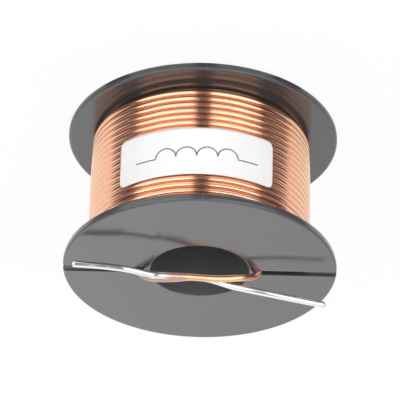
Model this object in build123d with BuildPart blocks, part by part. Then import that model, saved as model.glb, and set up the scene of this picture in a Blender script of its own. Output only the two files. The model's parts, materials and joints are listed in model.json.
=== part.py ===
# Air core inductor: enamelled copper wire wound in layers on a flanged plastic bobbin.
# The bobbin stands on its plain flange, its bore runs along +Z, and the flange with the two
# wire slots is on top. The origin is the centre of the bore at the plain flange's outer face.

import os
from math import degrees, sqrt

from build123d import *

# Driving dimensions, in millimetres and degrees.
flange_diameter = 50.0
flange_thickness = 1.6
overall_height = 29.3
bore_diameter = 18.1
tube_wall = 1.35

winding_diameter = 40.7
turns_per_layer = 20
wire_diameter = 1.27

start_slot_width = 1.5
finish_slot_width = 1.95

label_width = 30.2
label_height = 9.8
label_thickness = 0.12
label_corner_radius = 1.2
label_middle_height = 16.15
label_middle_angle = 4.0

# Sizes that follow from the driving dimensions.
flange_radius = flange_diameter / 2
bore_radius = bore_diameter / 2
tube_radius = bore_radius + tube_wall
winding_radius = winding_diameter / 2
wire_radius = wire_diameter / 2
slotted_flange_height = overall_height - flange_thickness
winding_space = slotted_flange_height - flange_thickness

# The turns of each layer lie in the grooves of the layer below, so every other layer sits
# half a turn higher, and twenty turns and a half fill the space between the flanges.
pitch = winding_space / (turns_per_layer + 0.5)
layer_rise = pitch * sqrt(3) / 2
ridge_height = 0.45 * pitch
groove_radius = winding_radius - ridge_height


# Bobbin: one moulding, a tube between two thin round flanges.
with BuildPart() as bobbin:
    with BuildSketch(Plane.XY):
        Circle(flange_radius)
    extrude(amount=flange_thickness)
    with BuildSketch(Plane.XY.offset(flange_thickness)):
        Circle(tube_radius)
    extrude(amount=winding_space)
    with BuildSketch(Plane.XY.offset(slotted_flange_height)):
        Circle(flange_radius)
    extrude(amount=flange_thickness)
    with BuildSketch(Plane.XY):
        Circle(bore_radius)
    extrude(amount=overall_height, mode=Mode.SUBTRACT)

    # Two slots let the wire ends out through the upper flange. Each runs from the tube,
    # where its end is round, to the rim, where it is open.
    for side, slot_width in ((-1, start_slot_width), (1, finish_slot_width)):
        slot_end = tube_radius + slot_width / 2
        slot_length = flange_radius + 1 - slot_end
        with BuildSketch(Plane.XY.offset(slotted_flange_height)):
            with Locations((side * slot_end, 0)):
                Circle(slot_width / 2)
            with Locations((side * (slot_end + slot_length / 2), 0)):
                Rectangle(slot_length, slot_width)
        extrude(amount=flange_thickness, mode=Mode.SUBTRACT)


# Winding: the layers fill the space between the flanges, and each turn of the outermost layer
# stands out as a ridge. That layer starts one turn away from the plain flange, so the layer
# below it shows there as a step.
outer_layer_start = flange_thickness + pitch
outer_layer_turns = turns_per_layer - 1
layer_blocks = (
    (winding_radius - layer_rise, flange_thickness, outer_layer_start),
    (groove_radius, outer_layer_start, slotted_flange_height),
)
turn_places = []
for turn in range(outer_layer_turns):
    turn_places.append((groove_radius, outer_layer_start + (turn + 0.5) * pitch))

with BuildPart() as winding:
    with BuildSketch(Plane.XZ):
        for block_radius, bottom, top in layer_blocks:
            with Locations(((tube_radius + block_radius) / 2, (bottom + top) / 2)):
                Rectangle(block_radius - tube_radius, top - bottom)
        with Locations(*turn_places):
            Polygon((0, -pitch / 2), (ridge_height, 0), (0, pitch / 2), align=None)
    revolve(axis=Axis.Z)


# Start lead: the wire's inner end. It stands up out of the narrow slot beside the tube, bends
# over, crosses the mouth of the bore and runs on nearly to the opposite rim.
start_lead_radius = tube_radius + wire_radius + 0.05
with BuildPart() as start_lead:
    with BuildLine() as start_route:
        FilletPolyline(
            (-start_lead_radius, 0, slotted_flange_height),
            (-start_lead_radius, 0, overall_height + 1.3),
            (-7.0, -1.95, overall_height + 2.45),
            (8.5, -5.2, overall_height + 4.3),
            (23.5, -6.7, overall_height + 3.4),
            radius=(1.3, 6.0, 14.0),
        )
    with BuildSketch(Plane(start_route.line @ 0, z_dir=start_route.line % 0)):
        Circle(wire_radius)
    sweep()


# Finish lead: the wire's outer end. It lies on the end of the winding, in the wide slot, runs
# inwards to the tube, bends up and crosses the bore the other way, beside the start lead.
finish_lead_start = groove_radius
slot_run_height = slotted_flange_height + wire_radius
with BuildPart() as finish_lead:
    with BuildLine() as finish_route:
        FilletPolyline(
            (finish_lead_start, 0, slot_run_height),
            (11.7, 0, slot_run_height),
            (10.0, 0, overall_height + 2.2),
            (-8.5, 0.35, overall_height + 3.75),
            (-23.1, 2.35, overall_height + 5.1),
            radius=(1.5, 1.5, 20.0),
        )
    with BuildSketch(Plane(finish_route.line @ 0, z_dir=finish_route.line % 0)):
        Circle(wire_radius)
    sweep()


# Label: a slip of paper with rounded corners, wrapped round the crests of the turns.
label_inside = winding_radius
label_arc = degrees(label_width / (label_inside + label_thickness))
label_start_angle = label_middle_angle - label_arc / 2 - 90
with BuildPart() as label:
    with BuildSketch(Plane.XZ.rotated((0, 0, label_start_angle))):
        with Locations((label_inside + label_thickness / 2, label_middle_height)):
            Rectangle(label_thickness, label_height)
    revolve(axis=Axis.Z, revolution_arc=label_arc)
    label_corners = label.edges().filter_by(lambda edge: edge.length < 2 * label_thickness)
    fillet(label_corners, label_corner_radius)


bobbin.part.label = "bobbin"
winding.part.label = "winding"
start_lead.part.label = "start_lead"
finish_lead.part.label = "finish_lead"
label.part.label = "label"

os.makedirs("parts", exist_ok=True)
export_step(bobbin.part, "parts/bobbin.step")
export_step(winding.part, "parts/winding.step")
export_step(start_lead.part, "parts/start_lead.step")
export_step(finish_lead.part, "parts/finish_lead.step")
export_step(label.part, "parts/label.step")
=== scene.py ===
import json
import math

import bmesh
import bpy
from mathutils import Matrix, Vector


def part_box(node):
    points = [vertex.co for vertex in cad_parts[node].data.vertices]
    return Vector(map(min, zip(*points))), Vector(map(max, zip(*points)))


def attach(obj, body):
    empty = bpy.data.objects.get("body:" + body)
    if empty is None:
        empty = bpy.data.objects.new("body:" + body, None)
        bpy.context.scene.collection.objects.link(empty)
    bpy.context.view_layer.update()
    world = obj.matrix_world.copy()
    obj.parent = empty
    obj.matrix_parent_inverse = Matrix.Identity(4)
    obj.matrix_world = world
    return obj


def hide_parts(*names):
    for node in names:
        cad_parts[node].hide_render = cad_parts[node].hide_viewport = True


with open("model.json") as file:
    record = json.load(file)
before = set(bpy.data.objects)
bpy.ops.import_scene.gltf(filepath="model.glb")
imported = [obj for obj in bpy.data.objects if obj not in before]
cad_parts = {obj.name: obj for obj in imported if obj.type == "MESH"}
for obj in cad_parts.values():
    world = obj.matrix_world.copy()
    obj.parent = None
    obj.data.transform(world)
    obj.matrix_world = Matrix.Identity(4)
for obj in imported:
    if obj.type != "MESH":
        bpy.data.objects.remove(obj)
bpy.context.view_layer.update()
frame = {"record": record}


# ---------------------------------------------------------------------------------------------
# The bobbin: one glossy black plastic moulding, a thin tube between two round flanges. The upper
# flange is cut from the rim to the tube by two slots that let the wire ends out. The mould leaves
# every edge slightly rounded and a fine parting mark across both rims.
mm = 0.001
bobbin_low, bobbin_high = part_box("bobbin")
mounts = {mount["name"]: mount for mount in frame["record"]["mounts"]}
flange_radius = min(bobbin_high.x - bobbin_low.x, bobbin_high.y - bobbin_low.y) / 2
bobbin_height = bobbin_high.z
bore_radius = mounts["core_bore"]["dims"]["r_mm"] * mm
tube_radius = bore_radius + 1.35 * mm
flange_thickness = 1.6 * mm
start_slot_width = 1.5 * mm
finish_slot_width = 1.95 * mm
slot_end = tube_radius - 0.25 * mm
moulded_edge = 0.55 * mm
bore_edge = 0.2 * mm
flange_facets = 288


class Signal:
    """An output of a node tree: arithmetic on it adds Math nodes, and node() any other node."""

    def __init__(self, tree, socket=None):
        self.tree = tree
        self.socket = socket

    def node(self, kind, settings=None, inputs=None, output=0):
        made = self.tree.nodes.new(kind)
        for name, value in (settings or {}).items():
            setattr(made, name, value)
        for name, value in (inputs or {}).items():
            if isinstance(value, Signal):
                self.tree.links.new(value.socket, made.inputs[name])
            else:
                made.inputs[name].default_value = value
        return Signal(self.tree, made.outputs[output] if made.outputs else None)

    def maths(self, operation, *values):
        return self.node("ShaderNodeMath", {"operation": operation}, dict(enumerate(values)))

    def __add__(self, other):
        return self.maths("ADD", self, other)

    def __sub__(self, other):
        return self.maths("SUBTRACT", self, other)

    def __rsub__(self, other):
        return self.maths("SUBTRACT", other, self)

    def __mul__(self, other):
        return self.maths("MULTIPLY", self, other)

    def __truediv__(self, other):
        return self.maths("DIVIDE", self, other)

    __radd__ = __add__
    __rmul__ = __mul__

    def step(self, start, end):
        """Rises smoothly from 0 at start to 1 at end, or falls where start is the larger."""
        rising = end > start
        settings = {"interpolation_type": "SMOOTHSTEP"}
        limits = {
            "Value": self,
            "From Min": min(start, end),
            "From Max": max(start, end),
            "To Min": 0.0 if rising else 1.0,
            "To Max": 1.0 if rising else 0.0,
        }
        return self.node("ShaderNodeMapRange", settings, limits)

    def mix(self, low, high):
        """The colour between two colours that this value picks."""
        inputs = {"Factor": self, 6: low, 7: high}
        return self.node("ShaderNodeMix", {"data_type": "RGBA"}, inputs, 2)


def new_finish(name):
    """A material, the start of its tree, and its surface shader."""
    material = bpy.data.materials.new(name)
    material.use_nodes = True
    shader = material.node_tree.nodes["Principled BSDF"]
    return material, Signal(material.node_tree), shader


def places(start):
    """Object coordinates in millimetres, whole and as x, y and z."""
    whole = start.node("ShaderNodeTexCoord", output="Object")
    scaled = start.node("ShaderNodeVectorMath", {"operation": "SCALE"}, {0: whole, "Scale": 1 / mm})
    split = start.node("ShaderNodeSeparateXYZ", inputs={0: scaled})
    outputs = split.socket.node.outputs
    return scaled, [Signal(start.tree, outputs[axis]) for axis in ("X", "Y", "Z")]


def feed(shader, **signals):
    """Links signals to the shader's sockets, named with underscores for spaces."""
    for name, signal in signals.items():
        signal.tree.links.new(signal.socket, shader.inputs[name.replace("_", " ")])


def piece(name, mesh, material, *nodes, slot):
    """A finished piece of the object, riding on its body in place of its solids."""
    made = bpy.data.objects.new(name, mesh)
    bpy.context.scene.collection.objects.link(made)
    mesh.materials.clear()
    mesh.materials.append(material)
    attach(made, "root")
    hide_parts(*nodes)


def turned(section, facets):
    """A closed ring turned about the Z axis from a section of (radius, height) points."""
    shape = bmesh.new()
    rings = []
    for step in range(facets):
        angle = 2 * math.pi * step / facets
        spot = [(r * math.cos(angle), r * math.sin(angle), z) for r, z in section]
        rings.append([shape.verts.new(place) for place in spot])
    for ring, after in zip(rings, rings[1:] + rings[:1]):
        for low, high in zip(range(len(section)), [*range(1, len(section)), 0]):
            shape.faces.new((ring[low], after[low], after[high], ring[high]))
    bmesh.ops.recalc_face_normals(shape, faces=shape.faces)
    mesh = bpy.data.meshes.new("ring")
    shape.to_mesh(mesh)
    shape.free()
    return mesh


def slot_cutter(width, side):
    """A block as wide as a wire slot, from beyond the rim to a round end at the tube."""
    shape = bmesh.new()
    half = width / 2
    bends = 24
    beyond_rim = side * 1.2 * flange_radius
    outline = [(beyond_rim, -side * half), (beyond_rim, side * half)]
    for step in range(bends + 1):
        angle = math.pi * (0.5 + step / bends)
        across = side * half * math.sin(angle)
        outline.append((side * (slot_end + half + half * math.cos(angle)), across))
    low = bobbin_height - 1.5 * flange_thickness
    high = bobbin_height + flange_thickness
    below = [shape.verts.new((x, y, low)) for x, y in outline]
    above = [shape.verts.new((x, y, high)) for x, y in outline]
    shape.faces.new(below)
    shape.faces.new(above)
    for here in range(len(outline)):
        after = (here + 1) % len(outline)
        shape.faces.new((below[here], below[after], above[after], above[here]))
    bmesh.ops.recalc_face_normals(shape, faces=shape.faces)
    mesh = bpy.data.meshes.new("slot")
    shape.to_mesh(mesh)
    shape.free()
    cutter = bpy.data.objects.new("slot", mesh)
    bpy.context.scene.collection.objects.link(cutter)
    return cutter


def settled(worker, *helpers):
    """The mesh that an object's modifiers give; the object and its helpers are removed."""
    graph = bpy.context.evaluated_depsgraph_get()
    mesh = bpy.data.meshes.new_from_object(worker.evaluated_get(graph), depsgraph=graph)
    for old in (worker, *helpers):
        bpy.data.objects.remove(old)
    return mesh


def rounded(corners, steps):
    """A closed section of (radius, height) points from corners of (radius, height, rounding)."""
    places = [Vector(corner[:2]) for corner in corners]
    section = []
    for number, (*_, rounding) in enumerate(corners):
        here = places[number]
        before = (places[number - 1] - here).normalized()
        after = (places[(number + 1) % len(places)] - here).normalized()
        if not rounding:
            section.append(here)
            continue
        centre = here + (before + after) * rounding
        for step in range(steps + 1):
            turn = math.pi / 2 * step / steps
            section.append(centre - (after * math.cos(turn) + before * math.sin(turn)) * rounding)
    return section


upper_low = bobbin_height - flange_thickness
spool_corners = [
    (bore_radius, 0.0, bore_edge),
    (flange_radius, 0.0, moulded_edge),
    (flange_radius, flange_thickness, moulded_edge),
    (tube_radius, flange_thickness, 0.0),
    (tube_radius, upper_low, 0.0),
    (flange_radius, upper_low, moulded_edge),
    (flange_radius, bobbin_height, moulded_edge),
    (bore_radius, bobbin_height, bore_edge),
]
spool_section = rounded(spool_corners, 5)
spool = bpy.data.objects.new("spool", turned(spool_section, flange_facets))
bpy.context.scene.collection.objects.link(spool)
spool.data.shade_smooth()
cutters = [slot_cutter(start_slot_width, -1), slot_cutter(finish_slot_width, 1)]
for cutter in cutters:
    cut = spool.modifiers.new("slot", "BOOLEAN")
    cut.object = cutter
    cut.operation = "DIFFERENCE"
    cut.solver = "EXACT"
bobbin_mesh = settled(spool, *cutters)
bobbin_mesh.set_sharp_from_angle(angle=math.radians(40))
spool = bpy.data.objects.new("spool", bobbin_mesh)
bpy.context.scene.collection.objects.link(spool)
facing = spool.modifiers.new("flat faces", "WEIGHTED_NORMAL")
facing.keep_sharp = True
bobbin_mesh = settled(spool)

black_plastic, start, shader = new_finish("black moulded plastic")
whole, (x, y, z) = places(start)
cloudy = start.node("ShaderNodeTexNoise", inputs={"Vector": whole, "Scale": 0.12, "Detail": 3.0})
grainy = start.node("ShaderNodeTexNoise", inputs={"Vector": whole, "Scale": 2.2, "Detail": 4.0})
dust = start.node("ShaderNodeTexVoronoi", inputs={"Vector": whole, "Scale": 0.55})
rare = start.node("ShaderNodeTexNoise", inputs={"Vector": whole, "Scale": 0.35, "Detail": 1.0})
specks = dust.step(0.06, 0.025) * rare.step(0.56, 0.64)
drawn_out = {0: whole, 1: (0.5, 7.0, 1.0)}
along = start.node("ShaderNodeVectorMath", {"operation": "MULTIPLY"}, drawn_out)
rubbed = start.node("ShaderNodeTexNoise", inputs={"Vector": along, "Scale": 0.5, "Detail": 2.0})
out = start.maths("SQRT", x * x + y * y)
rim = out.step(24.7, 24.9)
flat = out.step(9.3, 9.6) * out.step(24.6, 24.4)
bore = out.step(9.25, 9.1)
inside = z.step(1.4, 1.7) * z.step(27.9, 27.6)
scratches = rubbed.step(0.69, 0.72) * cloudy.step(0.52, 0.62) * flat
parting = start.maths("ABSOLUTE", x + 0.25).step(0.16, 0.04) * rim
level = start.maths("PINGPONG", z, bobbin_height / mm / 2)
polished = level.step(0.2, 0.5) * level.step(1.35, 1.05) * z.step(14.0, 15.0)
# Painted highlight: along the rims' rounded edges the plastic is painted a little lighter grey,
# uneven with the grain, so the edges show a light line.
edge = (out - 25.0 + start.maths("ABSOLUTE", level - flange_thickness / mm / 2)).step(0.36, 0.50)
edge_highlight = edge * out.step(24.5, 24.7) * (0.5 + grainy * 0.9)
shade = cloudy.mix((0.040, 0.041, 0.044, 1), (0.052, 0.053, 0.056, 1))
# Painted light: the bore's wall is painted a lighter grey. It stands in for the light that would
# come in at the bore's far end, which the table closes here.
shade = bore.mix(shade, (0.112, 0.112, 0.116, 1))
# Dust specks, scratches and the parting mark are lighter grey, and so is the painted highlight
# along the rim edges.
marks_and_edge_highlight = specks * 0.5 + scratches * 0.12 + parting * 0.12 + edge_highlight * 0.06
shade = marks_and_edge_highlight.mix(shade, (0.42, 0.42, 0.43, 1))
height = grainy * 0.004 + cloudy * 0.012 - scratches * 0.004 + parting * 0.05
bumps = start.node("ShaderNodeBump", inputs={"Height": height, "Strength": 0.35, "Distance": 0.001})
gloss = 0.16 + grainy * 0.08 + bore * 0.2 + rim * 0.14 + scratches * 0.12 + specks * 0.3
skin = (1.0 - rim * (1 - polished)) * (1 - inside * 0.65)
feed(shader, Base_Color=shade, Roughness=gloss, Normal=bumps, Coat_Weight=skin)
shader.inputs["IOR"].default_value = 1.6
shader.inputs["Coat IOR"].default_value = 1.58
shader.inputs["Coat Roughness"].default_value = 0.13
piece("bobbin_moulding", bobbin_mesh, black_plastic, "bobbin", slot="bobbin_plastic")


# ---------------------------------------------------------------------------------------------
# The copper turns: one round wire under clear glossy enamel, wound in nine layers, each turn in
# the groove of the layer below. The outermost layer climbs from the plain flange to the slotted
# one; its first turn lies about a millimetre deeper, and two layers under it show at its foot.
turns_low, turns_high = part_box("winding")
wire_radius = 0.635 * mm
winding_radius = turns_high.x
layer_count = 9
inner_layer = tube_radius + wire_radius
outer_layer = winding_radius - wire_radius
layer_gap = (outer_layer - inner_layer) / (layer_count - 1)
turn_space = turns_high.z - turns_low.z
turns_that_fit = 19.86
pitch = turn_space / turns_that_fit
first_height = turns_low.z + wire_radius
last_height = turns_high.z - wire_radius
outer_start = first_height + pitch / 4
outer_turns = 18.18
winding_aside = 0.28 * mm
foot_turn_depth = 1.05 * mm
core_depth = 0.55 * mm


def tree_with(name, values):
    """A geometry tree with named inputs, the start of its tree, and its inputs as signals."""
    tree = bpy.data.node_groups.new(name, "GeometryNodeTree")
    tree.interface.new_socket("Geometry", in_out="OUTPUT", socket_type="NodeSocketGeometry")
    tree.interface.new_socket("Geometry", in_out="INPUT", socket_type="NodeSocketGeometry")
    for title, value in values.items():
        if isinstance(value, bpy.types.Material):
            kind = "NodeSocketMaterial"
        elif isinstance(value, int):
            kind = "NodeSocketInt"
        else:
            kind = "NodeSocketFloat"
        tree.interface.new_socket(title, in_out="INPUT", socket_type=kind)
    entry = tree.nodes.new("NodeGroupInput")
    signals = {title: Signal(tree, entry.outputs[title]) for title in ["Geometry", *values]}
    return tree, Signal(tree), signals


def grown(tree, values, base):
    """The plain mesh that a geometry tree makes on a base object, which is removed."""
    bpy.context.scene.collection.objects.link(base)
    modifier = base.modifiers.new("grow", "NODES")
    modifier.node_group = tree
    for title, value in values.items():
        modifier[tree.interface.items_tree[title].identifier] = value
    return settled(base)


def finish_tree(start, shape, material):
    """Ends a geometry tree: smooth faces, real geometry and one material."""
    smooth = start.node("GeometryNodeSetShadeSmooth", inputs={"Geometry": shape})
    real = start.node("GeometryNodeRealizeInstances", inputs={"Geometry": smooth})
    inputs = {"Geometry": real, "Material": material}
    coloured = start.node("GeometryNodeSetMaterial", inputs=inputs)
    leave = start.tree.nodes.new("NodeGroupOutput")
    start.tree.links.new(coloured.socket, leave.inputs["Geometry"])


copper_wire, start, shader = new_finish("enamelled copper wire")
whole, (x, y, z) = places(start)
angle = start.maths("ARCTAN2", y, x)
turn = (z + angle * (pitch / mm / (2 * math.pi))) / (pitch / mm)
turn_number = start.maths("FLOOR", turn + 0.27)
lot = start.node("ShaderNodeTexWhiteNoise", {"noise_dimensions": "1D"}, {"W": turn_number})
drawn = start.node("ShaderNodeCombineXYZ", inputs={"X": angle * 2.0, "Y": z * 6.0, "Z": 0.0})
streaks = start.node("ShaderNodeTexNoise", inputs={"Vector": drawn, "Scale": 1.0, "Detail": 3.0})
mottle = start.node("ShaderNodeTexNoise", inputs={"Vector": whole, "Scale": 1.4, "Detail": 4.0})
dust = start.node("ShaderNodeTexVoronoi", inputs={"Vector": whole, "Scale": 0.8})
specks = dust.step(0.07, 0.03) * mottle.step(0.56, 0.62)
tone = lot * 0.5 + streaks * 0.5
tint = tone.mix((0.92, 0.495, 0.315, 1), (0.955, 0.535, 0.345, 1))
tint = (specks * 0.6).mix(tint, (0.9, 0.85, 0.78, 1))
height = streaks * 0.006 + mottle * 0.006
bumps = start.node("ShaderNodeBump", inputs={"Height": height, "Strength": 0.3, "Distance": 0.001})
feed(shader, Base_Color=tint, Roughness=0.12 + mottle * 0.07 + specks * 0.3, Normal=bumps)
shader.inputs["Metallic"].default_value = 1.0
shader.inputs["Coat Weight"].default_value = 0.42
shader.inputs["Coat IOR"].default_value = 1.5
shader.inputs["Coat Roughness"].default_value = 0.1

coil_values = {
    "Coil Radius": outer_layer,
    "Wire Radius": wire_radius,
    "Start Height": outer_start,
    "Start Angle": math.pi / 2,
    "Rise per Turn": pitch,
    "Turns": outer_turns,
    "Steps per Turn": 120,
    "Sides": 16,
    "Unevenness": 0.03 * mm,
    "Sideways": winding_aside,
    "Slack at Start": 0.0,
    "Wire": copper_wire,
}
coil_tree, start, given = tree_with("turns of wire", coil_values)
count = given["Turns"] * given["Steps per Turn"] + 1.0
spine = start.node("GeometryNodeMeshLine", inputs={"Count": count})
spine = start.node("GeometryNodeMeshToCurve", inputs={"Mesh": spine})
along = start.node("GeometryNodeInputIndex") / given["Steps per Turn"]
angle = given["Start Angle"] - along * (2 * math.pi)
around = start.node("ShaderNodeCombineXYZ", inputs={
    "X": start.maths("COSINE", angle), "Y": start.maths("SINE", angle), "Z": along * 0.35
})
wander = start.node("ShaderNodeTexNoise", inputs={"Vector": around, "Scale": 1.3, "Detail": 1.0})
drift = (wander - 0.5) * given["Unevenness"]
slack = given["Slack at Start"] * (along / given["Turns"]).step(0.35, 0.0)
reach = given["Coil Radius"] + drift - slack
level = given["Start Height"] + along * given["Rise per Turn"] + drift
spot = start.node("ShaderNodeCombineXYZ", inputs={
    "X": reach * start.maths("COSINE", angle) + given["Sideways"],
    "Y": reach * start.maths("SINE", angle),
    "Z": level,
})
spine = start.node("GeometryNodeSetPosition", inputs={"Geometry": spine, "Position": spot})
spine = start.node("GeometryNodeSetCurveNormal", {"mode": "Z_UP"}, {"Curve": spine})
ring = start.node(
    "GeometryNodeCurvePrimitiveCircle",
    inputs={"Resolution": given["Sides"], "Radius": given["Wire Radius"]},
)
tube = start.node(
    "GeometryNodeCurveToMesh", inputs={"Curve": spine, "Profile Curve": ring, "Fill Caps": True}
)
finish_tree(start, tube, given["Wire"])


def coil(**changes):
    """One run of turns, with some of the coil's values changed."""
    values = dict(coil_values)
    values.update({title.replace("_", " "): value for title, value in changes.items()})
    base = bpy.data.objects.new("coil", bpy.data.meshes.new("coil"))
    return grown(coil_tree, values, base)


runs = [coil(Slack_at_Start=0.14 * mm)]
runs.append(coil(
    Coil_Radius=outer_layer - foot_turn_depth,
    Start_Height=first_height,
    Rise_per_Turn=0.0,
    Turns=1.0,
))
for layer in range(layer_count - 1):
    radius = inner_layer + layer * layer_gap
    downward = (layer_count - 1 - layer) % 2 == 1
    if layer >= layer_count - 3:
        runs.append(coil(
            Coil_Radius=radius,
            Start_Height=first_height + (2 * pitch if downward else 0.0),
            Rise_per_Turn=-pitch if downward else pitch,
            Turns=2.0,
        ))
    top = last_height - (0.0 if downward else 0.5 * pitch)
    runs.append(coil(
        Coil_Radius=radius,
        Start_Height=top - (0.0 if downward else 1.5 * pitch),
        Rise_per_Turn=-pitch if downward else pitch,
        Turns=1.5,
        Sides=12,
        Steps_per_Turn=96,
    ))
core_radius = outer_layer - core_depth
core_section = [
    (tube_radius, turns_low.z),
    (outer_layer - 2.6 * layer_gap, turns_low.z),
    (outer_layer - 1.7 * layer_gap, turns_low.z + 1.2 * pitch),
    (core_radius, turns_low.z + 1.9 * pitch),
    (core_radius, turns_high.z - 1.1 * pitch),
    (core_radius - layer_gap, turns_high.z - 0.75 * pitch),
    (tube_radius, turns_high.z - 0.75 * pitch),
]
runs.append(turned(core_section, 96))
joined = bmesh.new()
for run in runs:
    joined.from_mesh(run)
turns_mesh = bpy.data.meshes.new("turns")
joined.to_mesh(turns_mesh)
joined.free()
turns_mesh.shade_smooth()
piece("copper_turns", turns_mesh, copper_wire, "winding", slot="copper_wire")


# ---------------------------------------------------------------------------------------------
# The wire ends: the same stiff wire, led out through the two slots and bent across the bore by
# hand. Each is scraped bare past the middle and dipped in solder, which leaves a browned stretch
# where the lacquer burnt and a bright, slightly lumpy skin to the cut end.
face = bobbin_height / mm
leave_angle = math.radians(25)


def wire_end_finish(name, toward, bare_from, bare_to):
    """Copper under lacquer that turns brown and then to tin along X, toward +1 or -1."""
    material, start, shader = new_finish(name)
    whole, (x, _, _) = places(start)
    mottle = start.node("ShaderNodeTexNoise", inputs={"Vector": whole, "Scale": 1.1, "Detail": 3.0})
    fine = start.node("ShaderNodeTexNoise", inputs={"Vector": whole, "Scale": 4.0, "Detail": 4.0})
    run = x * toward + (mottle - 0.5) * 1.6
    burnt = run.step(bare_from - 0.8, bare_from + 0.8)
    tinned = run.step(bare_to - 1.2, bare_to + 0.9)
    lacquered = mottle.mix((0.93, 0.52, 0.29, 1), (0.95, 0.60, 0.35, 1))
    # Painted shade: toward the slot that it leaves, the lacquered wire is painted a darker red.
    slot_shade = run.step(-7.5, -10.0)
    lacquered = slot_shade.mix(lacquered, (0.66, 0.28, 0.16, 1))
    brown = fine.mix((0.47, 0.30, 0.24, 1), (0.72, 0.52, 0.44, 1))
    tin = fine.mix((0.80, 0.79, 0.78, 1), (0.88, 0.87, 0.86, 1))
    colour = tinned.mix(burnt.mix(lacquered, brown), tin)
    dull = 0.26 + burnt * 0.02 - tinned * 0.12 + fine * 0.04
    height = mottle * (burnt * 0.03 - tinned * 0.024) + fine * (0.008 - tinned * 0.006)
    bumps = start.node(
        "ShaderNodeBump", inputs={"Height": height, "Strength": 0.5, "Distance": 0.001}
    )
    feed(shader, Base_Color=colour, Roughness=dull, Normal=bumps)
    feed(shader, Coat_Weight=0.6 - burnt * 0.6, Metallic=0.9 + tinned * 0.1)
    shader.inputs["Coat Roughness"].default_value = 0.2
    return material


def led_wire(path):
    """A smooth path through listed points; the led wire tree makes it a round wire with its cut end
    slightly pinched.
    """
    line = bpy.data.curves.new("wire", "CURVE")
    line.dimensions = "3D"
    line.resolution_u = 24
    spline = line.splines.new("BEZIER")
    spline.bezier_points.add(len(path) - 1)
    for point, place in zip(spline.bezier_points, path):
        point.co = [value * mm for value in place]
        point.handle_left_type = "AUTO"
        point.handle_right_type = "AUTO"
    return bpy.data.objects.new("wire", line)


wire_values = {
    "Wire Radius": wire_radius,
    "Step": 0.25 * mm,
    "Sides": 24,
    "Cut Length": 0.18 * mm,
    "Bare Length": 17.5 * mm,
    "Wire": copper_wire,
}
wire_tree, start, given = tree_with("led wire", wire_values)
spine = start.node("GeometryNodeResampleCurve", {"mode": "LENGTH"}, {
    "Curve": given["Geometry"], "Length": given["Step"]
})
factor = start.node("GeometryNodeSplineParameter", output="Length")
length = start.node("GeometryNodeSplineLength")
left = length - factor
pinch = 0.72 + 0.28 * start.maths("MINIMUM", left / given["Cut Length"], 1.0)
pinch = pinch - 0.05 * (left - given["Bare Length"]).step(0.0, -1.5 * mm)
spine = start.node("GeometryNodeSetCurveRadius", inputs={"Curve": spine, "Radius": pinch})
ring = start.node(
    "GeometryNodeCurvePrimitiveCircle",
    inputs={"Resolution": given["Sides"], "Radius": given["Wire Radius"]},
)
spine = start.node("GeometryNodeSetCurveNormal", {"mode": "Z_UP"}, {"Curve": spine})
tube = start.node(
    "GeometryNodeCurveToMesh",
    inputs={"Curve": spine, "Profile Curve": ring, "Scale": pinch, "Fill Caps": True},
)
finish_tree(start, tube, given["Wire"])

start_path = [
    (-11.035, 0.0, face - 2.2),
    (-11.0, 0.0, face - 0.9),
    (-10.85, 0.0, face - 0.45),
    (-10.6, 0.0, face + 0.05),
    (-10.25, -0.03, face + 0.5),
    (-9.9, -0.12, face + 0.87),
    (-9.5, -0.35, face + 1.18),
    (-9.0, -0.85, face + 1.55),
    (-8.35, -1.4, face + 1.93),
    (-7.4, -1.9, face + 2.3),
    (-4.3, -2.33, face + 2.8),
    (-1.9, -2.75, face + 3.05),
    (1.4, -3.8, face + 3.48),
    (3.6, -4.5, face + 3.79),
    (6.8, -5.2, face + 4.12),
    (8.95, -5.45, face + 4.08),
    (11.1, -6.22, face + 4.02),
    (13.3, -6.83, face + 3.88),
    (15.5, -7.02, face + 3.71),
    (17.6, -7.11, face + 3.54),
    (20.7, -7.34, face + 3.48),
    (23.0, -7.45, face + 3.42),
]
start_finish = wire_end_finish("start wire end", toward=1, bare_from=2.6, bare_to=6.2)
start_mesh = grown(wire_tree, {**wire_values, "Wire": start_finish}, led_wire(start_path))
piece("start_wire_end", start_mesh, start_finish, "start_lead", slot="tinned_lead")

finish_from = outer_layer / mm
finish_path = [
    (
        winding_aside / mm + finish_from * math.cos(leave_angle),
        finish_from * math.sin(leave_angle),
        26.46,
    ),
    (19.5, 4.3, 26.6),
    (19.68, 1.7, 26.95),
    (19.6, 0.3, 27.6),
    (19.0, 0.0, 28.25),
    (17.8, 0.0, 28.5),
    (14.0, 0.0, 28.45),
    (12.1, 0.0, 28.6),
    (11.5, 0.05, face),
    (11.05, 0.08, face + 0.46),
    (10.32, 0.05, face + 0.99),
    (9.6, -0.1, face + 1.52),
    (8.6, -0.5, face + 1.97),
    (7.4, -0.6, face + 2.12),
    (4.63, -0.62, face + 2.03),
    (1.4, -1.25, face + 2.03),
    (-1.0, -1.4, face + 2.26),
    (-2.9, -1.15, face + 2.62),
    (-5.8, -0.38, face + 3.13),
    (-9.1, 0.2, face + 3.53),
    (-12.9, 0.67, face + 4.03),
    (-16.6, 1.26, face + 4.45),
    (-20.3, 2.0, face + 4.76),
    (-23.0, 2.5, face + 5.0),
]
finish_finish = wire_end_finish("finish wire end", toward=-1, bare_from=-11.5, bare_to=0.5)
finish_values = {**wire_values, "Bare Length": 22.5 * mm, "Wire": finish_finish}
finish_mesh = grown(wire_tree, finish_values, led_wire(finish_path))
piece("finish_wire_end", finish_mesh, finish_finish, "finish_lead", slot="tinned_lead")


# ---------------------------------------------------------------------------------------------
# The label: a white self-adhesive paper label with rounded corners, stuck round the outermost
# turns. It carries only the drawing sign of a coil, a line with four humps, in thin grey print.
label_low, label_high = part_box("label")
label_outside = -label_low.y
label_left = math.asin((label_low.x - winding_aside) / label_outside)
label_right = math.asin((label_high.x - winding_aside) / label_outside)
label_thickness = 0.1 * mm
label_corner = 1.2 * mm
label_columns = 160
label_rows = 24

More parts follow.
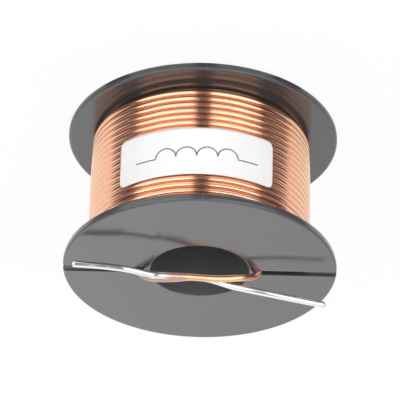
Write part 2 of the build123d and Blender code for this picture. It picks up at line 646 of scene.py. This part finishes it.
label_width = (label_right - label_left) * label_outside
label_height = label_high.z - label_low.z
label_middle = (label_low.z + label_high.z) / 2
shape = bmesh.new()
sheet = []
for column in range(label_columns + 1):
    along = label_width * column / label_columns
    corner = max(label_corner - min(along, label_width - along), 0.0)
    half = label_height / 2 - (label_corner - math.sqrt(label_corner**2 - corner**2))
    angle = label_left + along / label_outside
    across = winding_aside + label_outside * math.sin(angle)
    upright = [label_middle + half * (2 * row / label_rows - 1) for row in range(label_rows + 1)]
    sheet.append([
        shape.verts.new((across, -label_outside * math.cos(angle), level)) for level in upright
    ])
for column, after in zip(sheet, sheet[1:]):
    for row in range(label_rows):
        shape.faces.new((column[row], after[row], after[row + 1], column[row + 1]))
label_mesh = bpy.data.meshes.new("label")
shape.to_mesh(label_mesh)
shape.free()
label_base = bpy.data.objects.new("label sheet", label_mesh)
bpy.context.scene.collection.objects.link(label_base)
label_mesh.shade_smooth()
thick = label_base.modifiers.new("paper", "SOLIDIFY")
thick.thickness = label_thickness
thick.offset = -1.0
label_mesh = settled(label_base)

label_paper, start, shader = new_finish("printed label paper")
whole, (x, y, z) = places(start)
around = start.maths("ARCTAN2", x, y * -1.0) * (label_outside / mm)
middle = (label_left + label_right) / 2 * label_outside / mm
hump = 1.9
line = 0.13
across = hump - start.maths("PINGPONG", around - middle, hump)
above = label_middle / mm - z + 1.1
aside = start.maths("ABSOLUTE", around - middle)
arch = start.maths("SQRT", across * across + above * above) - hump
humps = start.maths("ABSOLUTE", arch).step(line + 0.05, line - 0.05)
humps = humps * above.step(-line, line) * aside.step(4 * hump + line, 4 * hump)
ends = start.maths("ABSOLUTE", above).step(line + 0.05, line - 0.05)
ends = ends * aside.step(4 * hump - 0.1, 4 * hump) * aside.step(11.6, 11.5)
fibres = start.node("ShaderNodeTexNoise", inputs={"Vector": whole, "Scale": 5.0, "Detail": 5.0})
paper = fibres.mix((0.885, 0.89, 0.895, 1), (0.92, 0.92, 0.915, 1))
ink = start.maths("MAXIMUM", humps, ends) * (0.78 + fibres * 0.2)
paper = ink.mix(paper, (0.035, 0.035, 0.038, 1))
height = fibres * 0.01
bumps = start.node("ShaderNodeBump", inputs={"Height": height, "Strength": 0.3, "Distance": 0.001})
feed(shader, Base_Color=paper, Roughness=0.55 + fibres * 0.2, Normal=bumps)
piece("paper_label", label_mesh, label_paper, "label", slot="label_paper")


# ---------------------------------------------------------------------------------------------
# The table and the light: a white table top, two tall soft panels in front at either side, a weak
# fill that gloss doesn't mirror, and a room that is white behind and overhead. What gloss mirrors
# of table and room is bright and dark by bearing, which was fitted to the front view alone.
def lit_bearings(bearing):
    """What is lit at a bearing from the front, toward +X: the two sides, and all behind."""
    left = bearing * (180 / math.pi)
    right = bearing * (-180 / math.pi)
    sides = left.step(4.5, 11.5) * left.step(72.0, 64.0)
    sides = sides + right.step(5.0, 13.5) * right.step(66.0, 57.0)
    return sides, left.step(92.0, 99.0) + right.step(90.0, 96.0)


sector_front = 11.0
table_mesh = bpy.data.meshes.new("table")
reach = 0.4
table_mesh.from_pydata(
    [(-reach, -reach, 0), (reach, -reach, 0), (reach, reach, 0), (-reach, reach, 0)],
    [],
    [(0, 1, 2, 3)],
)
table = bpy.data.objects.new("table_top", table_mesh)
bpy.context.scene.collection.objects.link(table)
table_white, start, shader = new_finish("white table")
shader.inputs["Roughness"].default_value = 0.9
seen = start.node("ShaderNodeLightPath", output="Is Camera Ray")
glossy = Signal(start.tree, seen.socket.node.outputs["Is Glossy Ray"])
through = Signal(start.tree, seen.socket.node.outputs["Is Transmission Ray"])
pale = seen.mix((0.55, 0.55, 0.55, 1), (0.97, 0.97, 0.97, 1))
feed(shader, Base_Color=glossy.mix(pale, (0.15, 0.12, 0.16, 1)))
glow = glossy.mix((1, 1, 1, 1), (1.08, 1.08, 1.08, 1))
glow = start.node("ShaderNodeEmission", inputs={"Color": glow, "Strength": 1.0})
_, (x, y, _) = places(start)
sides, back = lit_bearings(start.maths("ARCTAN2", x, -sector_front - y))
away = start.maths("SQRT", x * x + (y + sector_front) * (y + sector_front))
beyond = away.step(40.0, 60.0)
beyond_far = away.step(110.0, 150.0)
fading = 0.95 - 0.85 * x.step(-4.0, 4.0)
foot_sides, foot_back = lit_bearings(start.maths("ARCTAN2", x, y * -1.0) * 2.0)
foot = start.maths("SQRT", x * x + y * y).step(31.0, 28.0)
lit = (sides * (1 - beyond * fading) + back * 0.92) * (1 - foot) + (foot_sides + foot_back) * foot
lit = lit + (1 - lit) * (beyond_far * 0.4)
share = seen * 0.9 + through * 0.9 + glossy * lit
ends = [node for node in start.tree.nodes if node.type == "OUTPUT_MATERIAL"]
surface = Signal(start.tree, shader.outputs[0])
both = start.node("ShaderNodeMixShader", inputs={0: share, 1: surface, 2: glow})
start.tree.links.new(both.socket, ends[0].inputs["Surface"])
table_mesh.materials.append(table_white)

room = bpy.data.worlds.new("room")
bpy.context.scene.world = room
room.use_nodes = True
start = Signal(room.node_tree)
toward = start.node("ShaderNodeTexCoord", output="Generated")
split = start.node("ShaderNodeSeparateXYZ", inputs={0: toward})
x, y, z = [Signal(start.tree, split.socket.node.outputs[axis]) for axis in ("X", "Y", "Z")]
sides, back = lit_bearings(start.maths("ARCTAN2", x, y * -1.0))
overhead = z.step(0.92, 0.97)
backdrop = (0.96 + 0.22 * x.step(-0.04, 0.05)) * (0.82 + 0.18 * z.step(0.486, 0.503))
white = start.maths("MAXIMUM", back * backdrop, overhead)
white = start.maths("MAXIMUM", white, sides * 0.65)
seen = start.node("ShaderNodeLightPath", output="Is Camera Ray")
through = Signal(start.tree, seen.socket.node.outputs["Is Transmission Ray"])
strength = start.maths("MAXIMUM", 0.11 + white * 0.89, start.maths("MAXIMUM", seen, through))
background = room.node_tree.nodes["Background"]
background.inputs["Color"].default_value = (1, 1, 1, 1)
room.node_tree.links.new(strength.socket, background.inputs["Strength"])


def soft_panel(name, azimuth, height, distance, width, tall, power):
    """An upright soft light panel facing the object; azimuth is in degrees from the front."""
    lamp = bpy.data.lights.new(name, "AREA")
    lamp.shape = "RECTANGLE"
    lamp.size = width
    lamp.size_y = tall
    lamp.energy = power
    stand = bpy.data.objects.new(name, lamp)
    bpy.context.scene.collection.objects.link(stand)
    turn = math.radians(azimuth)
    stand.location = (distance * math.sin(turn), -distance * math.cos(turn), height)
    aim = Vector((-math.sin(turn), math.cos(turn), 0))
    stand.rotation_euler = aim.to_track_quat("-Z", "Y").to_euler()
    stand.visible_camera = False
    return stand


soft_panel("panel_left", 37.0, 0.62, 1.1, 1.22, 1.24, 6.2)
soft_panel("panel_right", -33.8, 0.95, 1.1, 1.03, 1.9, 7.8)
fill = soft_panel("front_fill", 0.0, 0.75, 1.3, 1.6, 1.5, 4.6)
fill.visible_glossy = False


# ---------------------------------------------------------------------------------------------
# The camera: a long lens in front of the label and above the slotted flange, held upside down,
# so that the slotted flange is at the foot of the frame.
object_middle = Vector((0, 0, bobbin_height / 2))
camera_tilt = math.radians(31.38)
camera_distance = 0.6545
camera_roll = math.radians(180 + 1.45)
camera_shift = (-0.003525, 0.007075)
lens = bpy.data.cameras.new("camera")
lens.lens = 319.1
lens.sensor_width = 36.0
lens.shift_x, lens.shift_y = camera_shift
lens.clip_start = 0.05
lens.clip_end = 20.0
camera = bpy.data.objects.new("camera", lens)
bpy.context.scene.collection.objects.link(camera)
toward_camera = Vector((0, -math.cos(camera_tilt), math.sin(camera_tilt)))
camera.location = object_middle + camera_distance * toward_camera
upright = (-toward_camera).to_track_quat("-Z", "Y").to_matrix()
camera.rotation_euler = (upright @ Matrix.Rotation(camera_roll, 3, "Z")).to_euler()
bpy.context.scene.camera = camera
bpy.context.scene.view_settings.view_transform = "Standard"
